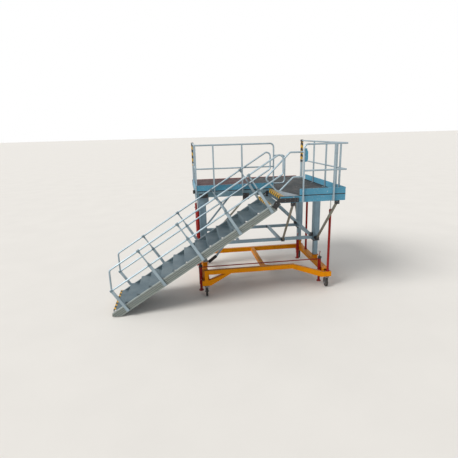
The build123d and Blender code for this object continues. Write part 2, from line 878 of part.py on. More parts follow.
# Jacks: a housing on an arm off the base beside each caster, with a leg that a crank winds down
housings = []
for name, x, y, side in corners:
    jack_x = x + jack_shift_x
    jack_y = y - side * jack_inboard
    bore = jack_leg_radius + rod_clear
    housing = upright(jack_x, jack_y, jack_tube_low, jack_tube_top, jack_tube_radius)
    arm_end = x - end_half if jack_shift_x < 0 else x + end_half
    housing += block(jack_x, arm_end, jack_y - jack_leg_radius, jack_y + jack_leg_radius,
                     frame_low, frame_low + jack_arm_height)
    housing -= upright(jack_x, jack_y, jack_tube_low, jack_leg_top + rod_cap_height, bore)
    housing += upright(jack_x, jack_y, jack_tube_top, crank_top, crank_radius)
    grip = (jack_x, jack_y - crank_grip / 2, crank_top)
    housing += rod_between(grip, (jack_x, jack_y + crank_grip / 2, crank_top), crank_radius + grip_extra)
    housings.append(housing)
    leg = upright(jack_x, jack_y, jack_foot_height + jack_foot_plate, jack_leg_top, jack_leg_radius)
    leg += upright(jack_x, jack_y, jack_foot_height, jack_foot_height + jack_foot_plate, jack_foot_radius)
    save(f"jack_leg_{name}", [leg])
save("jack_housings", housings)
tie_bars = []
for side in (-1, 1):
    y = side * (base_half_width - jack_inboard)
    x0 = base_left + jack_shift_x + jack_tube_radius
    x1 = base_right + jack_shift_x - jack_tube_radius
    tie_bars.append(rod_between((x0, y, tie_bar_z), (x1, y, tie_bar_z), tie_bar_radius))
save("jack_tie_bars", tie_bars)

# Casters: fork with its stem plate under each corner, rim and tyre on the axle
for name, x, y, side in corners:
    wheel_y = y + caster_trail
    fork_top = block_low - stem_gap
    half = wheel_width / 2 + fork_gap
    fork = Pos(x, y, fork_top - stem_thick) * Cylinder(stem_plate / 2, stem_thick + stem_gap, align=STAND)
    crown_low = 2 * wheel_radius + fork_gap
    fork += block(x - half - fork_plate, x + half + fork_plate, y - crown_back, wheel_y + crown_front,
                  crown_low, fork_top - stem_thick)
    for x0 in (x - half - fork_plate, x + half):
        cheek = block(x0, x0 + fork_plate, y - cheek_back, wheel_y + cheek_front, wheel_radius, crown_low)
        cheek += rod_between((x0, wheel_y, wheel_radius), (x0 + fork_plate, wheel_y, wheel_radius),
                             axle_boss)
        fork += cheek
    fork += rod_between((x - half, wheel_y, wheel_radius), (x + half, wheel_y, wheel_radius), axle_radius)
    save(f"caster_fork_{name}", [fork])
    inner = (x - wheel_width / 2, wheel_y, wheel_radius)
    outer = (x + wheel_width / 2, wheel_y, wheel_radius)
    rim = rod_between(inner, outer, rim_radius) - rod_between(inner, outer, axle_radius + pin_clear)
    tyre = rod_between(inner, outer, wheel_radius) - rod_between(inner, outer, rim_radius)
    save(f"caster_rim_{name}", [rim])
    save(f"caster_tyre_{name}", [tyre])
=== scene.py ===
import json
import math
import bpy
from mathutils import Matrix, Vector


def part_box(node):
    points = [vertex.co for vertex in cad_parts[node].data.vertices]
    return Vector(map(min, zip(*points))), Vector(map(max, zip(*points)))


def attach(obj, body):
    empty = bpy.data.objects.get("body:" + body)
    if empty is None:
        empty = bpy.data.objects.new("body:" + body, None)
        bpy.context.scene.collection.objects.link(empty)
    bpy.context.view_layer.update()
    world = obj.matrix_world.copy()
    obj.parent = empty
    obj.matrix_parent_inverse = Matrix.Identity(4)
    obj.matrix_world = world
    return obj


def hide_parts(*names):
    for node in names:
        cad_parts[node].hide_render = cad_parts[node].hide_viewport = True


bl_info = {
    "name": "Cargo door access stand",
    "version": (1, 0, 0),
    "blender": (4, 5, 0),
    "location": "View3D > Sidebar > Stand",
    "description": "Dresses the packed access stand with its finishes and fittings",
    "category": "Object",
}

import bmesh
import bpy
import numpy as np
from mathutils import Matrix, Vector

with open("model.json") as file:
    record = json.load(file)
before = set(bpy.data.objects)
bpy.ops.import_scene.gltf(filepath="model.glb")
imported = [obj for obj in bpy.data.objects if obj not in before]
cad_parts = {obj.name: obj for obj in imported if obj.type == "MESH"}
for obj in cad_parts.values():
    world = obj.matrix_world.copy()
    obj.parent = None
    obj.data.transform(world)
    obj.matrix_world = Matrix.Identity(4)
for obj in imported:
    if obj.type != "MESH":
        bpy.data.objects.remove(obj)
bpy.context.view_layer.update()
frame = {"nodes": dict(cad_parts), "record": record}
CORNERS = ("near_left", "near_right", "far_left", "far_right")


def spans(node, inset=0.0):
    """From where to where a node runs along X, Y and Z, less inset at both ends, to the micrometre."""
    return [(round(low + inset, 6), round(high - inset, 6)) for low, high in zip(*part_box(node))]


# Places on the stand, in metres
COLUMN_HALF, BUMPER_HALF, POST_HALF = 0.08, 0.03, 0.019
(MAIN_X, RIGHT_X), (LANDING_Y, FAR_Y), (_, DECK_Z) = spans("deck_panel")
(LANDING_X, _), (_, MAIN_Y), _ = spans("landing_nosing")
RING_LOW_Z, RING_HIGH_Z = spans("ring_beams")[2]
COLUMN_X, COLUMN_Y, _ = spans("column_outer", COLUMN_HALF)
COLUMNS = [(x, y) for x in COLUMN_X for y in COLUMN_Y]
RISE, GOING, NOSE_X, TREADS = DECK_Z / 15, 0.271, spans("stair_treads")[0][0], 14
PITCH = math.atan2(RISE, GOING)
COS, SIN = math.cos(PITCH), math.sin(PITCH)
FLIGHT = TREADS * GOING / COS
# Outer face of each stringer, and which way it looks
STRINGERS = ((spans("stringer_near")[1][0], -1), (spans("stringer_far")[1][1], 1))
STRINGER_THICK, STRINGER_TOP = 0.04, -0.045
STAIR_POSTS = (0.0604, 0.285, 0.512, 0.7354, 0.9232)
# Depths of the stringers' grooves below their top line, where dark lines of painted shade are drawn
SHADED_GROOVE_ROWS = (0.09, 0.13, 0.17)
UP, NEAR, FAR, LEFT, RIGHT = (0, 0, 1), (0, -1, 0), (0, 1, 0), (-1, 0, 0), (1, 0, 0)
_, (MAIN_RAIL_Y, _), (_, RAIL_Z) = spans("guardrail_main", POST_HALF)
LANDING_RAIL_Y, MID_Z = spans("guardrail_landing", POST_HALF)[1][0], 3.085
RAIL_X, (BUMPER_Y, _), _ = spans("bumper_posts", BUMPER_HALF)
LEFT_RAIL_X, RIGHT_RAIL_X = RAIL_X
MAIN_POST_X, RIGHT_POST_Y = (-0.17, 0.528), (-1.53, -1.345, -0.705, 0.135)
# Posts that stand on the deck: x, y and width
DECK_POSTS = ([(x, MAIN_RAIL_Y, 0.034) for x in (LEFT_RAIL_X, *MAIN_POST_X)] + [(LEFT_RAIL_X, 0.2885, 0.034)]
              + [(RIGHT_RAIL_X, y, 0.034) for y in RIGHT_POST_Y]
              + [(x, BUMPER_Y, 2 * BUMPER_HALF) for x in RAIL_X])


# Numbers and colours
def linear(red, green, blue):
    """Screen colour of 0 to 255 as linear light: each channel to the power 2.2."""
    return tuple((channel / 255) ** 2.2 for channel in (red, green, blue))


def colour_property(name, red, green, blue):
    """A colour that shows as a swatch in the panel."""
    return bpy.props.FloatVectorProperty(
        name=name, description=f"Colour of the {name.lower()}", subtype="COLOR",
        size=3, min=0.0, max=1.0, default=linear(red, green, blue))


def number_property(name, description, default, **more):
    """A number that isn't below zero."""
    return bpy.props.FloatProperty(name=name, description=description, default=default, min=0.0, **more)


def length_property(name, description, metres):
    """A length in metres."""
    return number_property(name, description, metres, unit="LENGTH", precision=4)


class StandColours(bpy.types.PropertyGroup):
    """Colours of the stand's finishes."""
    base_paint: colour_property("Base frame paint", 222, 138, 6)
    jack_paint: colour_property("Jack and cylinder paint", 150, 28, 20)
    deck_paint: colour_property("Deck edge paint", 82, 144, 172)
    # Painted shade: a greyer, duller blue for the main deck's edge beams than the landing's, standing in for
    # the shade they lie in
    edge_profile_shade: colour_property("Main deck edge profile with painted shade", 104, 132, 144)
    aluminium: colour_property("Column aluminium", 132, 156, 170)
    strut: colour_property("Strut aluminium", 150, 148, 136)
    tube: colour_property("Rail tube aluminium", 160, 178, 188)
    stair: colour_property("Stair aluminium", 117, 135, 144)
    stringer: colour_property("Stringer aluminium", 147, 154, 149)
    deck_floor: colour_property("Landing floor", 44, 50, 54)
    main_floor: colour_property("Main floor", 72, 46, 50)
    deck_strip: colour_property("Far strip of the floor", 112, 44, 46)
    plate: colour_property("Chequered plate", 128, 142, 150)
    hazard_yellow: colour_property("Hazard yellow", 214, 166, 40)


class StandWear(bpy.types.PropertyGroup):
    """How used the stand looks."""
    chips: number_property("Chips", "Share of the paint's edges that has chipped off", 0.4, max=1.0,
                           subtype="FACTOR")
    dust: number_property("Dust", "Dust on faces that look up", 0.22, max=1.0, subtype="FACTOR")


class StandSizes(bpy.types.PropertyGroup):
    """Sizes of the fittings."""
    tread_rib: length_property("Tread rib", "Height of the ribs on a tread", 0.004)
    column_rib: length_property("Column rib", "How far a column's ribs stand out", 0.005)
    weld: length_property("Weld bead", "Radius of a weld bead", 0.004)


class StandStage(bpy.types.PropertyGroup):
    """Floor and light."""
    floor: colour_property("Floor", 232, 230, 226)
    sky: number_property("Sky light", "Strength of the light from all round", 0.52)
    sun: number_property("Sun light", "Strength of the soft main light", 2.7)


# Shader tools
class Channel:
    """One output socket. Arithmetic on it adds Math nodes to its tree."""

    def __init__(self, shader, socket):
        self.shader = shader
        self.socket = socket

    def maths(self, operation, *others):
        """A Math node with this value first."""
        return self.shader.maths(operation, self, *others)

    def __add__(self, other):
        return self.maths("ADD", other)

    __radd__ = __add__

    def __mul__(self, other):
        return self.maths("MULTIPLY", other)

    __rmul__ = __mul__

    def __sub__(self, other):
        return self.maths("SUBTRACT", other)

    def __rsub__(self, other):
        return self.shader.maths("SUBTRACT", other, self)

    def __gt__(self, other):
        return self.maths("GREATER_THAN", other)

    def __lt__(self, other):
        return self.maths("LESS_THAN", other)

    def part(self):
        """What is left of the value past its whole number."""
        return self.maths("FRACT")

    def size(self):
        """The value without its sign."""
        return self.maths("ABSOLUTE")

    def ramp(self, low, high):
        """0 below low, 1 above high and a straight slope between."""
        return self.shader.node("MapRange", {"clamp": True},
                                {"Value": self, "From Min": low, "From Max": high})


class Nodes:
    """The nodes of one tree."""

    def __init__(self, tree):
        self.tree = tree
        tree.nodes.clear()

    def node(self, kind, settings=None, sockets=None, output=0):
        """Adds a node: its settings first, then the values or links of its sockets. Gives its output."""
        made = self.tree.nodes.new(f"ShaderNode{kind}")
        for key, value in (settings or {}).items():
            setattr(made, key, value)
        for key, value in (sockets or {}).items():
            if isinstance(value, Channel):
                self.tree.links.new(value.socket, made.inputs[key])
            elif made.inputs[key].type == "RGBA":
                made.inputs[key].default_value = (*value, 1.0)
            else:
                made.inputs[key].default_value = value
        return Channel(self, made.outputs[output]) if made.outputs else None

    def maths(self, operation, *values):
        """A Math node."""
        return self.node("Math", {"operation": operation}, dict(enumerate(values)))


class Shader(Nodes):
    """The nodes of one material."""

    def __init__(self, name):
        self.material = bpy.data.materials.new(name)
        self.material.use_nodes = True
        super().__init__(self.material.node_tree)
        self.place = self.node("TexCoord", output="Object")

    def axes(self):
        """X, Y and Z of the place on the object."""
        return [self.node("SeparateXYZ", None, {0: self.place}, output=axis) for axis in range(3)]

    def noise(self, scale, detail, stretch=(1.0, 1.0, 1.0), shift=0.0):
        """Cloudy noise of 0 to 1, drawn out along the axes with a small stretch."""
        where = self.node("Mapping", None,
                          {"Vector": self.place, "Location": (shift, shift, shift), "Scale": stretch})
        return self.node("TexNoise", None, {"Vector": where, "Scale": scale, "Detail": detail})

    def cells(self, scale, feature="F1", stretch=(1.0, 1.0, 1.0)):
        """Distance to the nearest of scattered points."""
        where = self.node("Mapping", None, {"Vector": self.place, "Scale": stretch})
        return self.node("TexVoronoi", {"feature": feature}, {"Vector": where, "Scale": scale},
                         output="Distance")

    def mix(self, share, low, high):
        """Colour low where share is 0 and colour high where it is 1."""
        return self.node("Mix", {"data_type": "RGBA"}, {0: share, 6: low, 7: high}, output=2)

    def facing_up(self):
        """1 on faces that look up, 0 on faces that look sideways or down."""
        normal = self.node("NewGeometry", output="Normal")
        return self.node("SeparateXYZ", None, {0: normal}, output=2).ramp(0.5, 0.95)

    def edges(self, radius):
        """1 near sharp edges: how far a rounded normal leans from the real one."""
        rounded = self.node("Bevel", {"samples": 4}, {"Radius": radius})
        normal = self.node("NewGeometry", output="Normal")
        agree = self.node("VectorMath", {"operation": "DOT_PRODUCT"}, {0: rounded, 1: normal},
                          output="Value")
        return (1.0 - agree).ramp(0.01, 0.16)

    def bump(self, height, distance, strength):
        """A normal pushed about by height."""
        return self.node("Bump", None, {"Height": height, "Distance": distance, "Strength": strength})

    def finish(self, colour, roughness, metallic=0.0, normal=None, shine=0.5):
        """Puts the surface together."""
        sockets = {"Base Color": colour, "Roughness": roughness, "Metallic": metallic,
                   "Specular IOR Level": shine}
        if normal is not None:
            sockets["Normal"] = normal
        self.node("OutputMaterial", None, {"Surface": self.node("BsdfPrincipled", None, sockets)})
        return self.material


def scaled(colour, factor):
    """A colour made darker or lighter."""
    return tuple(min(1.0, channel * factor) for channel in colour)


# Finishes
BLACK = (0.006, 0.006, 0.007)


def frame_paint(slot, colour, bare, roughness, chips, dust, shine=0.2, area=None):
    """Sprayed paint: patchy gloss, chipped edges down to bare, streaks and dust on top.

    area repaints a part of it."""
    shader = Shader("finish_" + slot)
    clouds = shader.noise(2.3, 4.0)
    fine = shader.noise(38.0, 4.0)
    runs = shader.noise(9.0, 3.0, stretch=(1.0, 1.0, 0.15), shift=3.0)
    tone = shader.mix(clouds.ramp(0.3, 0.7), scaled(colour, 0.86), scaled(colour, 1.08))
    if area:
        tone = area(shader, tone)
    tone = shader.mix(runs.ramp(0.56, 0.75) * 0.4, tone, scaled(colour, 0.45))
    scratches = shader.cells(14.0, "DISTANCE_TO_EDGE", stretch=(1.0, 1.0, 6.0))
    scratch = (scratches < 0.012) * fine.ramp(0.5, 0.62)
    chip = shader.edges(0.006) * fine.ramp(0.62 - 0.25 * chips, 0.68 - 0.25 * chips)
    spots = shader.noise(24.0, 5.0, shift=7.0) > 0.72 - 0.05 * chips
    worn = chip.maths("MAXIMUM", spots).maths("MAXIMUM", scratch)
    tone = shader.mix(worn, tone, bare)
    dusty = shader.facing_up() * dust * shader.noise(5.0, 4.0, shift=1.0).ramp(0.35, 0.7)
    tone = shader.mix(dusty, tone, linear(196, 186, 168))
    rough = roughness + 0.16 * (clouds - 0.5) + 0.25 * dusty + 0.15 * worn
    relief = shader.bump(fine * 0.15 + (1.0 - worn), 0.0012, 0.5)
    shader.finish(tone, rough, 0.0, relief, shine)


def satin_metal(slot, colour, roughness, dust, stretch=(1.0, 1.0, 1.0), area=None):
    """Extruded aluminium: faint streaks along the run, dull patches and dust in places.

    area repaints a part of it."""
    shader = Shader("finish_" + slot)
    streaks = shader.noise(60.0, 3.0, stretch=stretch)
    clouds = shader.noise(3.1, 5.0)
    smear = shader.noise(16.0, 4.0, shift=5.0)
    tone = shader.mix(clouds.ramp(0.3, 0.72), scaled(colour, 0.82), scaled(colour, 1.1))
    if area:
        tone = area(shader, tone)
    tone = shader.mix(streaks.ramp(0.45, 0.7) * 0.4, tone, scaled(colour, 0.72))
    tone = shader.mix((smear > 0.66) * 0.3, tone, linear(120, 116, 110))
    dusty = shader.facing_up() * dust * clouds.ramp(0.4, 0.7)
    tone = shader.mix(dusty, tone, linear(190, 184, 172))
    rough = roughness + 0.2 * (clouds - 0.5) + 0.12 * streaks + 0.2 * dusty
    relief = shader.bump(streaks + 0.4 * smear, 0.0008, 0.35)
    shader.finish(tone, rough, 0.75, relief)


def grit_floor(slot, left, right, dust):
    """Anti-slip sheet: coarse grit, scuffed lighter where people walk, one colour left of the landing."""
    shader = Shader("finish_" + slot)
    across = shader.axes()[0]
    grit = shader.cells(260.0)
    clouds = shader.noise(1.6, 5.0)
    marks = shader.noise(11.0, 5.0, stretch=(1.0, 0.4, 1.0), shift=2.0)
    tone = shader.mix(across.ramp(LANDING_X - 0.35, LANDING_X + 0.05), left, right)
    dark = shader.mix(0.38, tone, (0.004, 0.004, 0.004))
    pale = shader.mix(0.12, tone, linear(190, 190, 190))
    tone = shader.mix(clouds.ramp(0.32, 0.7), dark, tone)
    tone = shader.mix(marks.ramp(0.56, 0.74) * 0.6, tone, pale)
    tone = shader.mix(grit.ramp(0.35, 0.1) * 0.2, tone, linear(140, 134, 130))
    dusty = dust * shader.noise(4.0, 5.0, shift=9.0).ramp(0.5, 0.75)
    tone = shader.mix(dusty, tone, linear(150, 142, 132))
    shader.finish(tone, 0.82 + 0.1 * (clouds - 0.5), 0.0, shader.bump(grit, 0.002, 0.8))


def lozenge_plate(slot, colour):
    """Chequered plate: raised lozenges that lean one way and then the other, polished by feet."""
    shader = Shader("finish_" + slot)
    across, along, _ = shader.axes()
    across, along = across * 28.0, along * 28.0
    row, column = across + along, across - along
    first = (row.part() - 0.5).size() * 2.0
    second = (column.part() - 0.5).size() * 2.0
    lozenge = (first < 0.35) * (second < 0.8) * ((row * 0.5).part() < 0.5)
    lozenge = lozenge.maths("MAXIMUM", (second < 0.35) * (first < 0.8) * ((row * 0.5).part() > 0.5))
    clouds = shader.noise(6.0, 5.0)
    tone = shader.mix(clouds.ramp(0.3, 0.7), scaled(colour, 0.7), scaled(colour, 1.1))
    tone = shader.mix(lozenge * 0.5, tone, scaled(colour, 1.35))
    rough = 0.45 + 0.25 * (clouds - 0.5) - 0.12 * lozenge
    shader.finish(tone, rough, 0.6, shader.bump(lozenge, 0.002, 0.9))


def hazard_paint(slot, yellow, tube, stripe_from, cap_from):
    """Slanting black and yellow bands, scuffed.

    Tall posts are bare below stripe_from and have a black cap."""
    shader = Shader("finish_" + slot)
    across, along, height = shader.axes()
    band = ((across + along + height) * 6.0).part() > 0.5
    scuffs = shader.noise(42.0, 5.0)
    tone = shader.mix(band, yellow, BLACK)
    tone = shader.mix((scuffs > 0.66) * 0.6, tone, linear(150, 146, 140))
    below = (height > 2.6) * (height < stripe_from)
    tone = shader.mix(below, tone, tube)
    tone = shader.mix(height > cap_from, tone, BLACK)
    clouds = shader.noise(5.0, 4.0)
    tone = shader.mix(clouds.ramp(0.45, 0.75) * 0.25, tone, linear(120, 112, 100))
    shader.finish(tone, 0.5 + 0.3 * (clouds - 0.5), 0.0, shader.bump(scuffs, 0.0008, 0.4))


def dull_black(slot, tint, roughness, area=None):
    """Black coated metal or rubber strip, greyed with dust and rubbed at its edges.

    area repaints a part of it."""
    shader = Shader("finish_" + slot)
    clouds = shader.noise(8.0, 5.0)
    fine = shader.noise(90.0, 3.0)
    tone = shader.mix(clouds.ramp(0.4, 0.75) * 0.5, tint, scaled(tint, 2.2))
    if area:
        tone = area(shader, tone)
    tone = shader.mix(shader.edges(0.004) * fine.ramp(0.45, 0.6) * 0.4, tone, linear(110, 110, 110))
    tone = shader.mix(shader.facing_up() * 0.15 * clouds.ramp(0.35, 0.6), tone, linear(110, 104, 96))
    shader.finish(tone, roughness + 0.2 * (clouds - 0.5), 0.0, shader.bump(fine, 0.0006, 0.5))


def painted(colour, inside):
    """Paints a part of a finish: inside is 1 there, worked out from X, Y and Z."""
    return lambda shader, tone: shader.mix(inside(*shader.axes()), tone, colour)


def stringer_tone_and_painted_light(colour):
    """Paints the stringers their own tone, with a painted highlight as a pale line at the upper rim and
    painted shade as dark lines in the long grooves.
    """
    near, far = (face - side * (STRINGER_THICK - 0.001) for face, side in STRINGERS)

    def area(shader, tone):
        across, along, height = shader.axes()
        square = (height - RISE) * COS - (across - NOSE_X) * SIN
        there = (square < STRINGER_TOP + 0.0005) * ((along < near) + (along > far))
        tone = shader.mix(there, tone, colour)
        # Painted shade: a dark line along each groove, where shade falls in it
        for row in SHADED_GROOVE_ROWS:
            groove_shade = (square + row).size() < 0.008
            tone = shader.mix(there * groove_shade * 0.5, tone, BLACK)
        # Painted highlight: a pale line along the upper rim of each stringer
        return shader.mix(there * (square > STRINGER_TOP - 0.008) * 0.3, tone, linear(214, 226, 230))
    return area


def tyre_rubber(slot):
    """Black rubber with grey floor dust on the tread and fine mould lines."""
    shader = Shader("finish_" + slot)
    clouds = shader.noise(20.0, 5.0)
    fine = shader.noise(150.0, 3.0)
    tone = shader.mix(clouds.ramp(0.35, 0.7), linear(34, 34, 35), linear(70, 67, 62))
    tone = shader.mix((fine > 0.6) * 0.2, tone, linear(130, 122, 110))
    shader.finish(tone, 0.8 + 0.2 * (clouds - 0.5), 0.0, shader.bump(fine + clouds, 0.0008, 0.6))


def plated_steel(slot, colour, roughness):
    """Zinc plate: mottled, with tea-coloured rust blooming in patches."""
    shader = Shader("finish_" + slot)
    flakes = shader.cells(70.0)
    clouds = shader.noise(12.0, 5.0)
    tone = shader.mix(flakes.ramp(0.2, 0.8), scaled(colour, 0.85), scaled(colour, 1.15))
    rust = (clouds > 0.62) * shader.noise(60.0, 4.0).ramp(0.4, 0.6)
    tone = shader.mix(rust * 0.6, tone, linear(126, 82, 52))
    shader.finish(tone, roughness + 0.3 * rust + 0.1 * (flakes - 0.5), 0.8,
                  shader.bump(flakes + rust, 0.0005, 0.4))


# Solids from arrays
def mirrored(half, width):
    """A profile and its mirror image about the middle of width."""
    return half + [(radius, width - distance) for radius, distance in reversed(half)]


def sheet_faces(rows, columns):
    """Quads of a grid of points, row by row, whose last column joins the first."""
    row, column = np.arange(rows - 1)[:, None], np.arange(columns)[None, :]
    here, beside = row * columns + column, row * columns + (column + 1) % columns
    return np.stack([here, beside, beside + columns, here + columns], axis=-1).reshape(-1, 4)


def closed_faces(rows, columns):
    """The quads of sheet_faces with a face over each end."""
    end = np.arange(columns)[None, :]
    return [sheet_faces(rows, columns), end[:, ::-1], end + (rows - 1) * columns]


def frame_of(direction):
    """Two unit vectors square to a direction: cross it with Z, or with X where it runs up, then again."""
    along = np.array(direction, float) / np.linalg.norm(direction)
    side = np.cross(UP if abs(along[2]) < 0.9 else RIGHT, along)
    side /= np.linalg.norm(side)
    return along, side, np.cross(along, side)


def turned(profile, start, direction, count, loop=False, twist=0.0, unit=0.001):
    """A turned solid: each pair of the profile is a radius and a distance along the axis, in millimetres.

    Point = start + distance * axis + radius * (cos t * side + sin t * up). Both ends are closed, or the
    profile's last pair runs back to its first where loop is set. twist turns it by a share of one step."""
    along, side, up = frame_of(direction)
    radius, distance = unit * np.array(profile, float).T
    turn = (np.arange(count) + twist) * 2 * math.pi / count
    ring = np.cos(turn)[:, None] * side + np.sin(turn)[:, None] * up
    points = np.array(start, float) + distance[:, None, None] * along + radius[:, None, None] * ring
    rows = len(profile)
    faces = [sheet_faces(rows + 1, count) % (rows * count)] if loop else closed_faces(rows, count)
    return points.reshape(-1, 3), faces


def ring_of(radius, tube, centre, direction, count, sides=8):
    """A ring: a circle of radius + tube * cos v and tube * sin v, turned round the axis."""
    lap = np.arange(sides) * 2 * math.pi / sides
    circle = np.stack([radius + tube * np.cos(lap), tube * np.sin(lap)], axis=1)
    return turned(circle, centre, direction, count, loop=True, unit=1.0)


def extruded(section, start, end, side, unit=0.001):
    """A bar of even section: each pair of it is a distance to the side and up, in millimetres.

    Point = start or end + across * side + height * up, with a flat cap at each end."""
    along = frame_of(np.subtract(end, start))[0]
    across, height = unit * np.array(section, float).T
    shape = across[:, None] * np.array(side) + height[:, None] * np.cross(along, side)
    return np.concatenate([np.add(start, shape), np.add(end, shape)]), closed_faces(2, len(section))


def bar(width, height, start, end, side):
    """A flat bar: a rectangle, width to the side and height up, carried from start to end."""
    return extruded(square_corners(width / 2, height / 2), start, end, side, 1.0)


def bolt(place, direction, across):
    """A six-sided head on a washer, two turned profiles in shares of its width across."""
    washer = [(0, 0), (0.62, 0), (0.62, 0.1), (0, 0.1)]
    head = [(0, 0.1), (0.5, 0.1), (0.5, 0.42), (0.42, 0.5), (0, 0.5)]
    return [turned(profile, place, direction, count, unit=across)
            for profile, count in ((washer, 16), (head, 6))]


def bolts(places, direction, across):
    """The same bolt head at several places."""
    return [part for place in places for part in bolt(place, direction, across)]


def rib(start, end, normal, width, height):
    """A low bar with sloping flanks that stands on a face: its section is a trapezium, sunk a little."""
    side = np.cross(normal, frame_of(np.subtract(end, start))[0])
    sink = 0.001
    section = [(-width / 2, -sink), (width / 2, -sink), (0.34 * width, height), (-0.34 * width, height)]
    return extruded(section, start, end, side, 1.0)


def bead(start, end, radius):
    """A weld bead with rounded ends: its radius swells and shrinks as sin along each ripple."""
    start, end = np.array(start, float), np.array(end, float)
    length = np.linalg.norm(end - start)
    steps = np.linspace(0.0, 1.0, max(8, int(length / 0.012)))
    swell = radius * (0.86 + 0.14 * np.sin(steps * length * 2 * math.pi / 0.024))
    ends_in = np.clip(np.minimum(steps, 1 - steps) * length / radius, 0.15, 1.0)
    return turned(np.stack([swell * ends_in, steps * length], axis=1), start, end - start, 8, unit=1.0)


def square_corners(a, b):
    """The corners of a rectangle in turn, from half its sides."""
    return (-a, -b), (a, -b), (a, b), (-a, b)


def bead_loop(corners, radius):
    """Weld beads along the sides of a closed outline."""
    return [bead(first, second, radius) for first, second in zip(corners, corners[1:] + corners[:1])]


def square_ring(x, y, low, high, inner, outer):
    """A square collar round an upright post: a turned loop with four sides."""
    inside, outside, rise = inner * math.sqrt(2), outer * math.sqrt(2), high - low
    profile = [(inside, 0), (outside, 0), (outside, rise), (inside, rise)]
    return turned(profile, (x, y, low), UP, 4, loop=True, twist=0.5, unit=1.0)


def upright_plate(x, width, y, thick, low, high):
    """A flat upright plate: a rectangle round x and y, width along X, carried from low to high."""
    return bar(width, thick, (x, y, low), (x, y, high), RIGHT)


def on_flight(along, square):
    """X and Z of a point along the flight from the first nosing and square off its slope."""
    return NOSE_X + along * COS - square * SIN, RISE + along * SIN + square * COS


def placed(name, data):
    """A new object in the scene."""
    made = bpy.data.objects.new(name, data)
    bpy.context.scene.collection.objects.link(made)
    return made


def add_piece(name, parts, body="platform", slot="caster_steel", bevel=0.0):
    """Joins the parts into one mesh, turns its faces outwards and hangs it on its body."""
    counts = np.cumsum([0] + [len(points) for points, _ in parts])
    points = np.concatenate([points for points, _ in parts])
    faces = []
    for (_, groups), first in zip(parts, counts):
        for group in groups:
            faces += (group + first).tolist()
    mesh = bpy.data.meshes.new(name)
    mesh.from_pydata(points.tolist(), [], faces)
    tidy = bmesh.new()
    tidy.from_mesh(mesh)
    bmesh.ops.remove_doubles(tidy, verts=tidy.verts, dist=1e-6)
    bmesh.ops.recalc_face_normals(tidy, faces=tidy.faces)
    tidy.to_mesh(mesh)
    tidy.free()
    mesh.shade_smooth()
    mesh.set_sharp_from_angle(angle=math.radians(40.0))
    piece = placed(name, mesh)
    piece.data.materials.append(bpy.data.materials[f"finish_{slot}"])
    if bevel:
        rounding = piece.modifiers.new("edge", "BEVEL")
        rounding.width = bevel
        rounding.segments = 2
        rounding.limit_method = "ANGLE"
    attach(piece, body)
    return piece


def spot(node):
    """Lowest corner and middle of a node as arrays."""
    low, high = np.array(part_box(node))
    return low, (low + high) / 2


# Operators
class STAND_OT_finishes(bpy.types.Operator):
    """Make the finishes and put them on the nodes"""
    bl_idname = "stand.finishes"
    bl_label = "Finishes"

    def execute(self, context):
        colours, wear = context.scene.stand_colours, context.scene.stand_wear
        low_y, high_y = COLUMN_Y[0] - COLUMN_HALF, COLUMN_Y[1] + COLUMN_HALF
        between_columns = painted(colours.aluminium, lambda x, y, z: (y > low_y) * (y < high_y))
        left_heads = painted(colours.aluminium,
                             lambda x, y, z: (z > 2.19) * (z < 2.45) * (x < -0.25) * (y > MAIN_Y))
        # Painted shade: the main deck's edge beams below the deck get the greyer edge colour in place of
        # light and shade
        shaded_main_edge = painted(colours.edge_profile_shade, lambda x, y, z: (x < LANDING_X - 0.005) * (z < DECK_Z))
        frame_paint("base_orange", colours.base_paint, linear(84, 58, 34), 0.42, wear.chips, wear.dust, 0.08)
        frame_paint("jack_red", colours.jack_paint, linear(120, 112, 104), 0.4, wear.chips, wear.dust)
        frame_paint("deck_blue", colours.deck_paint, linear(176, 186, 190), 0.45, wear.chips * 0.7,
                    wear.dust, area=shaded_main_edge)
        satin_metal("column_aluminium", colours.aluminium, 0.42, 0.4, (1.0, 1.0, 0.03))
        satin_metal("strut_aluminium", colours.strut, 0.5, 0.5, area=between_columns)
        satin_metal("rail_aluminium", colours.tube, 0.38, 0.25)
        satin_metal("stair_aluminium", colours.stair, 0.45, 0.15, (0.05, 1.0, 1.0),
                    stringer_tone_and_painted_light(colours.stringer))
        dull_black("bracket_black", (0.016, 0.016, 0.018), 0.5, left_heads)
        dull_black("seal_black", (0.01, 0.01, 0.01), 0.75)
        grit_floor("deck_floor", colours.main_floor, colours.deck_floor, wear.dust)
        grit_floor("deck_strip", colours.deck_strip, colours.deck_strip, wear.dust * 0.6)
        lozenge_plate("plate_grey", colours.plate)
        hazard_paint("hazard", colours.hazard_yellow, colours.tube, 3.03, 3.625)
        plated_steel("caster_steel", linear(124, 126, 128), 0.4)
        tyre_rubber("tyre")
        plated_steel("rod_steel", linear(196, 198, 200), 0.22)
        for part in frame["record"]["subparts"]:
            node = frame["nodes"][part["node"]]
            slot = "strut_aluminium" if part["node"] == "frame_struts" else part["material_slot"]
            node.data.materials.clear()
            node.data.materials.append(bpy.data.materials[f"finish_{slot}"])
        return {"FINISHED"}


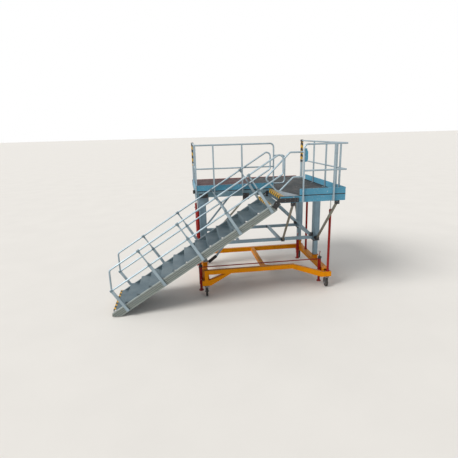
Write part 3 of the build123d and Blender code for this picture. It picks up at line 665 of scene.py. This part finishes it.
class STAND_OT_wheels(bpy.types.Operator):
    """Turn the four tyres and their dished discs"""
    bl_idname = "stand.wheels"
    bl_label = "Wheels"

    def execute(self, context):
        width = 50
        tread = mirrored([(85, 0), (108, 0), (118, 3), (123.5, 9), (125, 15), (125, 22), (122.5, 23.5)],
                         width)
        dish = mirrored([(10.4, 3), (26, 3), (30, 8), (31, 17), (62, 19), (71, 12), (77, 3), (84.6, 1)],
                        width)
        turn = np.arange(5) * 2 * math.pi / 5
        for corner in CORNERS:
            wheel = f"wheel_{corner}"
            low, centre = spot(f"caster_tyre_{corner}")
            start = (low[0], *centre[1:])
            tyre = add_piece(f"tyre_{corner}", [turned(tread, start, RIGHT, 56, loop=True)], wheel, "tyre")
            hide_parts(f"caster_tyre_{corner}")
            disc = add_piece(f"disc_{corner}", [turned(dish, start, RIGHT, 48, loop=True)], wheel)
            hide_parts(f"caster_rim_{corner}")
            around = np.stack([np.zeros(5), 0.047 * np.cos(turn), 0.047 * np.sin(turn)], axis=1)
            heads = []
            for side, inset in ((-1, 0.0185), (1, 0.0315)):
                places = around + np.array([low[0] + inset, *centre[1:]])
                heads += bolts(places, (side, 0, 0), 0.011)
            add_piece(f"disc_bolts_{corner}", heads, wheel)
        return {"FINISHED"}


class STAND_OT_casters(bpy.types.Operator):
    """Fit the swivel races, axle nuts and cheek stiffeners of the casters"""
    bl_idname = "stand.casters"
    bl_label = "Caster fittings"

    def execute(self, context):
        cheek, trail = 0.039, 0.045
        nipple = [(0, 0), (5, 0), (5, 6), (3, 9), (0, 10)]
        for corner in CORNERS:
            x, y, z = spot(f"caster_tyre_{corner}")[1]
            parts = [ring_of(0.055, 0.0075, (x, y - trail, 0.2775), UP, 36),
                     ring_of(0.062, 0.003, (x, y - trail, 0.2885), UP, 36)]
            for side in (-1, 1):
                face = x + side * cheek
                parts += bolt((face, y, z), (side, 0, 0), 0.03)
                for forward, width in ((-0.012, 0.012), (0.017, 0.008)):
                    parts.append(rib((face, y + forward, 0.165), (face, y + forward, 0.25), (side, 0, 0),
                                     width, 0.003))
            parts.append(turned(nipple, (x, y - trail - 0.04, 0.27), NEAR, 10))
            add_piece(f"caster_fittings_{corner}", parts, f"caster_{corner}", "caster_steel", 0.0006)
        return {"FINISHED"}


class STAND_OT_columns(bpy.types.Operator):
    """Run the extruded ribs up the columns and fit their collars, foot rings and bolts"""
    bl_idname = "stand.columns"
    bl_label = "Column fittings"

    def execute(self, context):
        height = context.scene.stand_sizes.column_rib
        outer, inner, collars, feet, foot_bolts = [], [], [], [], []
        for x, y in COLUMNS:
            sections = ((outer, COLUMN_HALF, 0.052, 1.07, 2.195 if x < 0 else 2.43, 0.02, height),
                        (inner, 0.055, 0.03, 0.625, 1.94, 0.012, 0.4 * height))
            for ribs, half, spread, low, high, width, proud in sections:
                for nx, ny in ((1, 0), (-1, 0), (0, 1), (0, -1)):
                    for offset in (-spread, spread):
                        place = (x + nx * half - ny * offset, y + ny * half + nx * offset)
                        ribs.append(rib((*place, low), (*place, high), (nx, ny, 0), width, proud))
            collars.append(square_ring(x, y, 1.03, 1.06, 0.0625, 0.086))
            feet.append(square_ring(x, y, 0.6105, 0.622, 0.0552, 0.082))
            feet += bead_loop([(x + a, y + b, 0.623) for a, b in square_corners(0.056, 0.056)],
                              context.scene.stand_sizes.weld)
            foot_bolts += bolts([(x + a, y + b, 0.622) for a in (-0.069, 0.069) for b in (-0.069, 0.069)],
                                UP, 0.018)
        add_piece("column_ribs_outer", outer, "platform", "column_aluminium", 0.0008)
        add_piece("column_ribs_inner", inner, "base", "column_aluminium")
        add_piece("column_collars", collars, "platform", "bracket_black", 0.002)
        add_piece("column_feet", feet, "base", "base_orange", 0.0012)
        add_piece("column_foot_bolts", foot_bolts, "base")
        return {"FINISHED"}


class STAND_OT_cylinders(bpy.types.Operator):
    """Fit the glands, ports and end nuts of the lift cylinders"""
    bl_idname = "stand.cylinders"
    bl_label = "Cylinder fittings"

    def execute(self, context):
        places = ((-0.6, -0.56, 0.48), (2.61, -1.12, 0.43), (-0.6, 0.56, 0.48), (2.61, 0.56, 0.48))
        gland = [(15.5, 0), (34, 0), (34, 28), (30, 32), (30, 46), (24, 52), (15.5, 52)]
        port = [(0, 0), (13, 0), (13, 14), (9, 16), (9, 26), (0, 26)]
        nut = mirrored([(15.5, 0), (27, 0), (29, 3)], 22)
        red, steel, nuts = [], [], []
        for x, y, foot in places:
            red.append(turned(gland, (x, y, 2.0), UP, 28, loop=True))
            red.append(ring_of(0.031, 0.004, (x, y, foot + 0.043), UP, 28))
            red.append(ring_of(0.031, 0.003, (x, y, 1.96), UP, 28))
            for z in (foot + 0.09, 1.93):
                steel.append(turned(port, (x - 0.028, y, z), LEFT if x < 0 else RIGHT, 6))
            steel += bolts([(x + a, y + b, foot + 0.002) for a in (-0.045, 0.045) for b in (-0.02, 0.02)
                            if -0.64 < x + a < 2.64], UP, 0.014)
            nuts.append(turned(nut, (x, y, 2.332), UP, 6, loop=True))
        add_piece("cylinder_glands", red, "base", "jack_red", 0.0008)
        add_piece("cylinder_ports", steel, "base")
        add_piece("rod_nuts", nuts, "platform", "rod_steel", 0.0006)
        return {"FINISHED"}


class STAND_OT_brackets(bpy.types.Operator):
    """Bolt the clamp brackets of the struts, and fit the clamp plates and the corner buffer"""
    bl_idname = "stand.brackets"
    bl_label = "Bracket fittings"

    def execute(self, context):
        half, low_z, ring_z, head_z, edge_z = 0.042, 1.197, 1.117, 2.392, 2.353
        clamps = [(x, y, z) for x, z in ((2.443, low_z), (1.175, head_z), (-0.343, low_z)) for y in COLUMN_Y]
        clamps += [(0.66, 1.1, head_z), (1.63, -0.372, ring_z), (1.46, -1.765, edge_z),
                   (2.565, -0.422, ring_z), (2.48, -1.765, edge_z)]
        clamps += [(x, y, z) for x in COLUMN_X for y, z in ((1.222, ring_z), (1.803, edge_z))]
        heads = []
        for x, y, z in clamps:
            for side in (-1, 1):
                if y + side * (half + 0.01) < 1.84:
                    heads += bolts([(x + a, y + side * half, z - a) for a in (-0.02, 0.02)], (0, side, 0),
                                   0.016)
        heads += bolts([(x, -0.632, z) for x in (0.56, 0.66) for z in (2.33, 2.435)], NEAR, 0.016)
        for y in COLUMN_Y:
            heads += bolts([(x, y - 0.092, z) for x in (-0.55, -0.38, -0.33) for z in (2.23, 2.4)], NEAR,
                           0.018)
        plates = []
        for x, y in COLUMNS:
            side = -1 if y < 0 else 1
            face = y + side * (COLUMN_HALF + 0.0045)
            plates.append(upright_plate(x, 0.156, face, 0.009, RING_LOW_Z, RING_HIGH_Z))
            heads += bolts([(x + a, face + side * 0.0045, z) for a in (-0.06, 0.06) for z in (1.092, 1.138)],
                           (0, side, 0), 0.014)
        for x in (0.45, 1.57):
            plates.append(upright_plate(x, 0.1, 1.066, 0.008, RING_LOW_Z, RING_HIGH_Z))
            heads += bolts([(x + a, 1.062, 1.115) for a in (-0.038, 0.038)], NEAR, 0.014)
        plates.append(upright_plate(-0.44, 0.22, MAIN_Y - 0.006, 0.012, 2.385, 2.49))
        heads += bolts([(x, MAIN_Y - 0.012, z) for x in (-0.53, -0.35) for z in (2.405, 2.47)], NEAR, 0.014)
        buffer = bar(0.06, 0.086, (MAIN_X - 0.056, MAIN_Y + 0.034, 2.542),
                     (MAIN_X - 0.0005, MAIN_Y + 0.034, 2.542), FAR)
        add_piece("bracket_bolts", heads)
        add_piece("clamp_plates", plates, "platform", "bracket_black", 0.0015)
        add_piece("corner_buffer", [buffer], "platform", "seal_black", 0.008)
        return {"FINISHED"}


class STAND_OT_base(bpy.types.Operator):
    """Weld the base frame, plug its open ends and bolt down its casters"""
    bl_idname = "stand.base"
    bl_label = "Base fittings"

    def execute(self, context):
        weld = context.scene.stand_sizes.weld
        left, right, low, high = -0.49, 2.59, 0.36, 0.48
        beads = []
        for x, half in ((left, 0.075), (right, 0.075), (1.08, 0.045)):
            for y in (-1.0745, 1.0745):
                z0, z1 = (0.585, 0.69) if half == 0.045 and y < 0 else (low, high)
                beads += bead_loop([(x - half, y, z0), (x + half, y, z0), (x + half, y, z1),
                                    (x - half, y, z1)], weld)
        for x, y in COLUMNS:
            beads += bead_loop([(x + a, y + b, high) for a, b in square_corners(0.06, 0.06)], weld)
        for x in (-0.535, 2.485):
            beads.append(bead((x, -1.1655, 0.435), (x, -1.1655, 0.6), weld))
        plugs = [bar(0.072, 0.102, (start, 1.12, 0.42), (end, 1.12, 0.42), FAR)
                 for start, end in ((-0.5935, -0.585), (2.685, 2.6935))]
        heads = []
        for x in (left, right):
            for y, z in ((-1.12, 0.43), (1.12, high)):
                heads += bolts([(x + a, y + b, z) for a in (-0.085, 0.085) for b in (-0.025, 0.025)
                                if x + a < 2.68 and (z > 0.45 or a * (x - 1.0) < 0 or abs(a) > 0.08)],
                               UP, 0.018)
        add_piece("base_welds", beads, "base", "base_orange")
        add_piece("base_plugs", plugs, "base", "seal_black", 0.0015)
        add_piece("base_bolts", heads, "base")
        return {"FINISHED"}


class STAND_OT_jacks(bpy.types.Operator):
    """Fit the gear heads, grips, collars and foot rims of the jacks"""
    bl_idname = "stand.jacks"
    bl_label = "Jack fittings"

    def execute(self, context):
        head = [(0, 0), (47, 0), (47, 16), (40, 24), (36, 55), (30, 66), (14, 70), (14, 82), (0, 82)]
        boss = [(0, 0), (22, 0), (22, 18), (17, 22), (0, 22)]
        grip = [(0, 0), (14, 0), (17, 6), (15, 16), (17, 26), (13, 36), (0, 38)]
        hub = [(0, 0), (16, 0), (18, 5), (18, 22), (12, 28), (0, 28)]
        collar = [(33.5, 0), (46, 0), (46, 20), (43, 24), (33.5, 24)]
        rim = [(52, 0), (60.5, 0), (60.5, 6), (56, 9), (52, 6)]
        black, steel, red = [], [], []
        for corner in CORNERS:
            x, y, _ = spot(f"jack_leg_{corner}")[1]
            black.append(turned(head, (x, y, 0.708), UP, 28))
            black.append(turned(boss, (x + 0.03, y, 0.742), RIGHT, 20))
            steel.append(turned(grip, (x, y + 0.012, 0.9), FAR, 18))
            steel.append(turned(grip, (x, y - 0.012, 0.9), NEAR, 18))
            steel.append(turned(hub, (x, y, 0.888), UP, 20))
            red.append(turned(collar, (x, y, 0.268), UP, 28, loop=True))
            for z in (0.36, 0.42):
                red.append(ring_of(0.042, 0.004, (x, y, z), UP, 28))
            side = -1 if y < 0 else 1
            steel += bolt((x, y + side * 0.042, 0.39), (0, side, 0), 0.016)
            foot = [ring_of(0.034, 0.004, (x, y, 0.104), UP, 28),
                    turned(rim, (x, y, 0.0985), UP, 36, loop=True)]
            foot += [rib((x, y + turn * 0.03, 0.108), (x, y + turn * 0.053, 0.1025), UP, 0.008, 0.01)
                     for turn in (-1, 1)]
            add_piece(f"jack_foot_{corner}", foot, f"jack_{corner}", "jack_red")
        add_piece("jack_heads", black, "base", "bracket_black", 0.0008)
        add_piece("jack_grips", steel, "base", "rod_steel")
        add_piece("jack_collars", red, "base", "jack_red", 0.0008)
        return {"FINISHED"}


class STAND_OT_deck(bpy.types.Operator):
    """Add the edge profile's ribs and the deck's screws"""
    bl_idname = "stand.deck"
    bl_label = "Deck fittings"

    def execute(self, context):
        width, height, gap, toe_end = 0.012, 0.0025, 0.004, 0.846
        sides = (((LANDING_X + gap, LANDING_Y), (RIGHT_X - gap, LANDING_Y), NEAR),
                 ((MAIN_X + gap, MAIN_Y), (LANDING_X - 0.006, MAIN_Y), NEAR),
                 ((RIGHT_X, LANDING_Y + gap), (RIGHT_X, FAR_Y - gap), RIGHT),
                 ((MAIN_X, MAIN_Y + gap), (MAIN_X, FAR_Y - gap), LEFT))
        toes = (((LANDING_X + 0.43, LANDING_Y), (RIGHT_X - gap, LANDING_Y), NEAR),
                ((MAIN_X + gap, MAIN_Y), (LANDING_X + 0.116, MAIN_Y), NEAR),
                ((RIGHT_X, LANDING_Y + gap), (RIGHT_X, toe_end), RIGHT),
                ((MAIN_X, MAIN_Y + gap), (MAIN_X, toe_end), LEFT))
        ribs = [rib((*start, z), (*end, z), normal, width, height)
                for z, rows in ((2.41, sides), (2.5, sides), (2.682, toes)) for start, end, normal in rows]
        add_piece("deck_edge_ribs", ribs, "platform", "deck_blue")
        places = []
        for x in MAIN_X + (np.arange(7) + 0.5) * 0.47:
            places += [(x, y, DECK_Z) for y in np.arange(-0.5, 1.7, 0.3)]
            if x > LANDING_X:
                places += [(x, y, DECK_Z) for y in (-1.7, -1.4, -1.1, -0.8)]
        places += [(x, -1.77, 2.5445) for x in (1.27, 1.4, 1.52)]
        places += [(x, 1.78, 2.545) for x in np.arange(-0.5, 2.6, 0.35)]
        disc = [(0, 0), (8.5, 0), (6.5, 1.4), (3, 1.6), (0, 0.8)]
        add_piece("deck_screws", [turned(disc, place, UP, 14) for place in places])
        return {"FINISHED"}


class STAND_OT_rails(bpy.types.Operator):
    """Fit the guard rails' post feet, straps, joint welds, bumper caps and latch plate"""
    bl_idname = "stand.rails"
    bl_label = "Rail fittings"

    def execute(self, context):
        feet, heads = [], []
        for x, y, width in DECK_POSTS:
            half = width / 2
            # The way to the bolted plate beside its foot
            dx, dy = (0, 1) if y < -0.5 and x < 1 else (1, 0) if x < 0 else (-1, 0)
            feet.append(square_ring(x, y, DECK_Z + 0.0005, DECK_Z + 0.008, half + 0.0004, half + 0.0025))
            feet.append(square_ring(x, y, DECK_Z + 0.006, DECK_Z + 0.07, half + 0.0004, half + 0.003))
            plate = (x + dx * (half + 0.026), y + dy * (half + 0.026))
            feet.append(bar(0.05, 0.05, (*plate, DECK_Z + 0.0004), (*plate, DECK_Z + 0.0075), RIGHT))
            heads += bolt((*plate, DECK_Z + 0.0075), UP, 0.02)
        tube, bumper_face = 0.017, BUMPER_Y - BUMPER_HALF
        heights = ((MID_Z, tube), (RAIL_Z, POST_HALF))
        joints = [((x + a, MAIN_RAIL_Y, MID_Z), RIGHT, tube) for x in MAIN_POST_X for a in (-tube, tube)]
        joints += [((LEFT_RAIL_X + tube, MAIN_RAIL_Y, z), RIGHT, radius) for z, radius in heights]
        joints += [((LEFT_RAIL_X, y, MID_Z), FAR, tube) for y in (0.2715, 0.3055, bumper_face, -0.566)]
        joints += [((RIGHT_RAIL_X, y + a, MID_Z), FAR, tube) for y in RIGHT_POST_Y for a in (-tube, tube)]
        joints += [((x, bumper_face, z), FAR, radius) for x in RAIL_X for z, radius in heights]
        joints += [((x, LANDING_RAIL_Y, MID_Z), RIGHT, 0.016) for x in (1.688, 2.347, 2.381)]
        welds = [ring_of(radius, 0.0028, place, direction, 24, 6) for place, direction, radius in joints]
        caps = [square_ring(x, BUMPER_Y, 3.612, 3.6685, 0.0301, 0.034) for x in RAIL_X]
        strip = [(-22, -1), (22, -1), (18, 10), (8, 14), (-8, 14), (-18, 10)]
        strips = [extruded(strip, (x, 1.19, 2.62), (x, 1.19, 3.6), LEFT) for x in RAIL_X]
        latch_face = -1.829
        latch = [extruded([(0, 0), (30, 0), (62, 45), (62, 210), (40, 255), (40, 285), (0, 285)],
                          (1.688, latch_face, 3.27), (1.688, latch_face - 0.012, 3.27), RIGHT)]
        latch += [bar(0.016, 0.02, (1.678, -1.837, z), (1.70, -1.837, z), FAR) for z in (3.31, 3.43, 3.53)]
        heads += bolts([(x, latch_face, z) for x, z in ((1.712, 3.33), (1.728, 3.46))], NEAR, 0.018)
        straps = [upright_plate(x, 0.034, MAIN_Y - 0.004, 0.009, low, 2.688)
                  for x, low in ((-0.62, 2.4), (-0.17, 2.46), (0.528, 2.46))]
        heads += bolts([(x, MAIN_Y - 0.0085, z) for x in (-0.62, *MAIN_POST_X) for z in (2.49, 2.64)], NEAR,
                       0.014)
        add_piece("post_straps", straps, "platform", "rail_aluminium", 0.001)
        add_piece("post_feet", feet, "platform", "rail_aluminium", 0.0006)
        add_piece("post_bolts", heads)
        add_piece("rail_welds", welds, "platform", "rail_aluminium")
        add_piece("bumper_caps", caps, "platform", "seal_black", 0.001)
        add_piece("bumper_strips", strips, "platform", "hazard", 0.001)
        add_piece("latch_plate", latch, "platform", "deck_blue", 0.0015)
        return {"FINISHED"}


class STAND_OT_stair(bpy.types.Operator):
    """Add the tread ribs, striped lips, stringer bolts, tie nuts and the handrails' clamps"""
    bl_idname = "stand.stair"
    bl_label = "Stair fittings"

    def execute(self, context):
        height = context.scene.stand_sizes.tread_rib
        tread_low_y, tread_high_y = -1.760, -0.724
        ribs, heads = [], []
        for k in range(TREADS):
            x0, z = NOSE_X + k * GOING, RISE * (k + 1)
            first = {0: 0.058, TREADS - 1: 0.09}.get(k, 0.012)
            for x in x0 + np.arange(first, 0.26, 0.021):
                ribs.append(rib((x, tread_low_y, z), (x, tread_high_y, z), UP, 0.009, height))
            for y, side in STRINGERS:
                heads += bolts([(x0 + a, y, z - 0.03) for a in (0.08, 0.16)], (0, side, 0), 0.013)
        for step in (2, 6, 10):
            x, z = on_flight((step + 0.5) * GOING / COS + 0.3 * COS, -0.191)
            for y, side in STRINGERS:
                heads += bolt((x, y, z), (0, side, 0), 0.024)
        rail_offset, rail_low, rail_high, reach = 0.018, 0.4, 0.8, 0.034

        def at(post, along, off):
            """A point of a rail post, given as share, y and side: along the flight and square off it."""
            share, y, side = post
            x, z = on_flight(share * FLIGHT + along, off)
            return x, y + side * rail_offset, z

        for share in STAIR_POSTS:
            for stringer in STRINGERS:
                heads += bolt(at((share, *stringer), 0.035, -0.16), (COS, 0, SIN), 0.018)
        clamps, screws = [], []
        square_off = (-SIN, 0, COS)
        sleeve = [(16.4, 0), (19.4, 0), (19.4, 45), (16.4, 45)]
        screw = [(0, 0), (5, 0), (5, 3), (0, 3)]
        clamp = [(-19.4, -19), (-11.5, -26), (11.5, -26), (19.4, -19), (19.4, 19), (11.5, 26), (-11.5, 26),
                 (-19.4, 19)]
        for share in STAIR_POSTS:
            lowest = share == STAIR_POSTS[0]
            for square in (rail_low,) if lowest else (rail_low, rail_high):
                for stringer in STRINGERS:
                    post = (share, *stringer)
                    clamps.append(extruded(clamp, at(post, -reach, square), at(post, reach, square), FAR))
                    if not lowest:
                        sleeve_at = square + (0.021 if square == rail_low else -0.066)
                        clamps.append(turned(sleeve, at(post, 0, sleeve_at), square_off, 20, loop=True))
                    screws += [turned(screw, at(post, end, square + 0.0255), square_off, 6)
                               for end in (-0.022, 0.022)]

        def lip(height, x, z):
            """A striped strip up the front of a tread or of the landing."""
            return bar(height, 0.002, (x, -1.765, z), (x, -0.719, z), UP)
        lips = [lip(0.06, NOSE_X + k * GOING - 0.001, RISE * (k + 1) - 0.03) for k in (0, TREADS - 1)]
        add_piece("tread_ribs", ribs, "stair", "stair_aluminium")
        add_piece("stair_bolts", heads, "stair")
        add_piece("rail_clamps", clamps, "stair", "stair_aluminium", 0.0012)
        add_piece("rail_clamp_screws", screws, "stair")
        add_piece("tread_lips", lips, "stair", "hazard", 0.0006)
        add_piece("landing_lip", [lip(0.07, LANDING_X - 0.005, 2.504)], "platform", "hazard", 0.0006)
        return {"FINISHED"}


class STAND_OT_hinge(bpy.types.Operator):
    """Fit the hinge's pin heads and bolts"""
    bl_idname = "stand.hinge"
    bl_label = "Hinge fittings"

    def execute(self, context):
        x, z, lug_near, lug_far = 1.135, 2.455, -1.832, -0.652
        pin = [(0, 0), (21, 0), (21, 5), (16, 9), (0, 9.5)]
        pins = [turned(pin, (x, lug_near, z), NEAR, 28), turned(pin, (x, lug_far, z), FAR, 28)]
        lug = bolts([(x + a, lug_near, z + b) for a in (0.13, 0.24, 0.35, 0.41) for b in (-0.024, 0.024)],
                    NEAR, 0.012)
        arm, arm_x, arm_z = [], -0.92, -0.393  # the arms run down this way from the pins
        for along, square in ((0.08, 0.03), (0.08, -0.03), (0.16, 0.035), (0.16, -0.035)):
            for face, direction in ((-1.819, NEAR), (-0.665, FAR)):
                place = (x + along * arm_x - square * arm_z, face, z + along * arm_z + square * arm_x)
                arm += bolt(place, direction, 0.012)
        add_piece("hinge_pins", pins, "platform", "bracket_black", 0.0006)
        add_piece("hinge_lug_bolts", lug)
        add_piece("hinge_arm_bolts", arm, "stair")
        return {"FINISHED"}


class STAND_OT_stage(bpy.types.Operator):
    """Lay the floor, hang the lights and set the camera"""
    bl_idname = "stand.stage"
    bl_label = "Stage"

    def execute(self, context):
        stage = context.scene.stand_stage
        floor_mesh = bpy.data.meshes.new("floor")
        floor_mesh.from_pydata([(a, b, 0) for a, b in square_corners(400.0, 400.0)], [], [(0, 1, 2, 3)])
        floor = placed("floor", floor_mesh)
        shader = Shader("floor_pale")
        tone = shader.mix(shader.noise(0.8, 3.0).ramp(0.3, 0.7), scaled(stage.floor, 0.97), stage.floor)
        floor.data.materials.append(shader.finish(tone, 0.9))

        world = bpy.data.worlds.new("sky")
        context.scene.world = world
        world.use_nodes = True
        sky = Nodes(world.node_tree)
        camera_ray, glossy_ray, clear_ray = (sky.node("LightPath", output=f"Is {ray} Ray")
                                             for ray in ("Camera", "Glossy", "Transmission"))
        seen = camera_ray.maths("MAXIMUM", glossy_ray).maths("MAXIMUM", clear_ray)
        light = sky.node("Background", None, {"Color": (1.0, 1.0, 1.0),
                                              "Strength": stage.sky + (1.0 - stage.sky) * seen})
        sky.node("OutputWorld", None, {"Surface": light})

        lamp = bpy.data.lights.new("main_light", "SUN")
        lamp.energy = stage.sun
        lamp.angle = math.radians(28.0)
        lamp.color = (1.0, 0.97, 0.93)
        hung = placed("main_light", lamp)
        hung.rotation_euler = Vector((0.76, 0.3, -0.58)).to_track_quat("-Z", "Y").to_euler()

        data = bpy.data.cameras.new("camera")
        data.sensor_width, data.lens = 36.0, 28.2
        data.shift_x = -0.0057
        data.shift_y = -0.0013
        data.clip_end = 500.0
        camera = placed("camera", data)
        camera.matrix_world = Matrix.Translation((-0.91, -9.318, 3.908))
        yaw, pitch, roll = 0.13, 0.26, -0.026
        for angle, axis in ((-yaw, "Z"), (math.pi / 2 - pitch, "X"), (roll, "Z")):
            camera.matrix_world @= Matrix.Rotation(angle, 4, axis)
        context.scene.camera = camera
        context.scene.view_settings.view_transform = "Standard"
        return {"FINISHED"}


class STAND_PT_panel(bpy.types.Panel):
    """Shows the stand's settings and a button for each step"""
    bl_label = "Access stand"
    bl_idname = "STAND_PT_panel"
    bl_space_type = "VIEW_3D"
    bl_region_type = "UI"
    bl_category = "Stand"

    def draw(self, context):
        for group in GROUPS:
            settings = getattr(context.scene, group)
            box = self.layout.box()
            for key in settings.bl_rna.properties.keys():
                if key not in ("rna_type", "name"):
                    box.prop(settings, key)
        for operator in OPERATORS:
            self.layout.operator(operator.bl_idname)


OPERATORS = (
    STAND_OT_finishes, STAND_OT_wheels, STAND_OT_casters, STAND_OT_columns, STAND_OT_cylinders,
    STAND_OT_brackets, STAND_OT_base, STAND_OT_jacks, STAND_OT_deck, STAND_OT_rails, STAND_OT_stair,
    STAND_OT_hinge, STAND_OT_stage,
)
GROUPS = {"stand_colours": StandColours, "stand_wear": StandWear, "stand_sizes": StandSizes,
          "stand_stage": StandStage}


def register():
    """Adds the classes and hangs the settings on the scene."""
    for kind in (*GROUPS.values(), *OPERATORS, STAND_PT_panel):
        bpy.utils.register_class(kind)
    for name, group in GROUPS.items():
        setattr(bpy.types.Scene, name, bpy.props.PointerProperty(type=group))


def unregister():
    """Takes them away again."""
    for name in GROUPS:
        delattr(bpy.types.Scene, name)
    for kind in (STAND_PT_panel, *reversed(OPERATORS), *reversed(list(GROUPS.values()))):
        bpy.utils.unregister_class(kind)


def main():
    """Runs every operator in order."""
    register()
    for operator in OPERATORS:
        group, name = operator.bl_idname.split(".")
        getattr(getattr(bpy.ops, group), name)()


if __name__ == "__main__":
    main()
